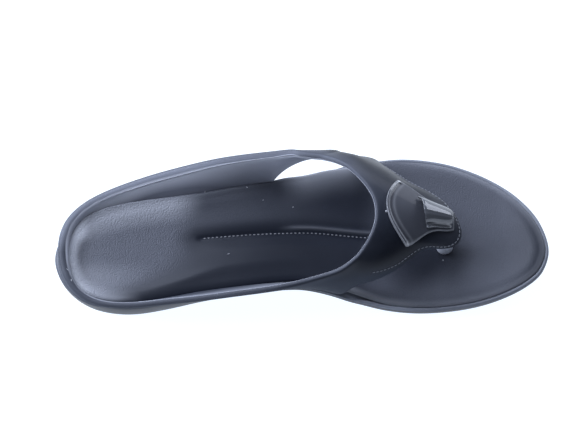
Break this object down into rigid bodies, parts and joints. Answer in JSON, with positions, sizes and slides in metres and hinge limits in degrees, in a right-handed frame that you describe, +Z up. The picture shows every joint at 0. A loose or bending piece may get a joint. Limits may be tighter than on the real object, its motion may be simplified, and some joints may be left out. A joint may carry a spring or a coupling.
{
  "type": "flat toe-post sandal",
  "caption": "Flat backless toe-post sandal for the left foot: moulded sole, padded footbed, low heel cup rising to a vamp with a side window, and a fan ornament on its nose.",
  "frame": {"origin": "on the floor under the middle of the shoe's bounding box", "axes": "+X along the foot from heel to toe, +Y to the outer side of the left foot, +Z up"},
  "size_m": [0.2588, 0.0892, 0.0561],
  "materials": {
    "sole": "satin black moulded rubber",
    "insole": "soft satin black leather with a fine grain",
    "upper": "smooth polished black leather",
    "toe_post": "satin black leather",
    "ornament_plate": "gloss black",
    "ornament_sleeve": "high gloss black"
  },
  "bodies": {
    "root": {"sole": "sole", "insole": "insole", "upper": "upper", "toe_post": "toe_post", "ornament_plate": "ornament_plate", "ornament_sleeve": "ornament_sleeve"}
  },
  "joints": []
}
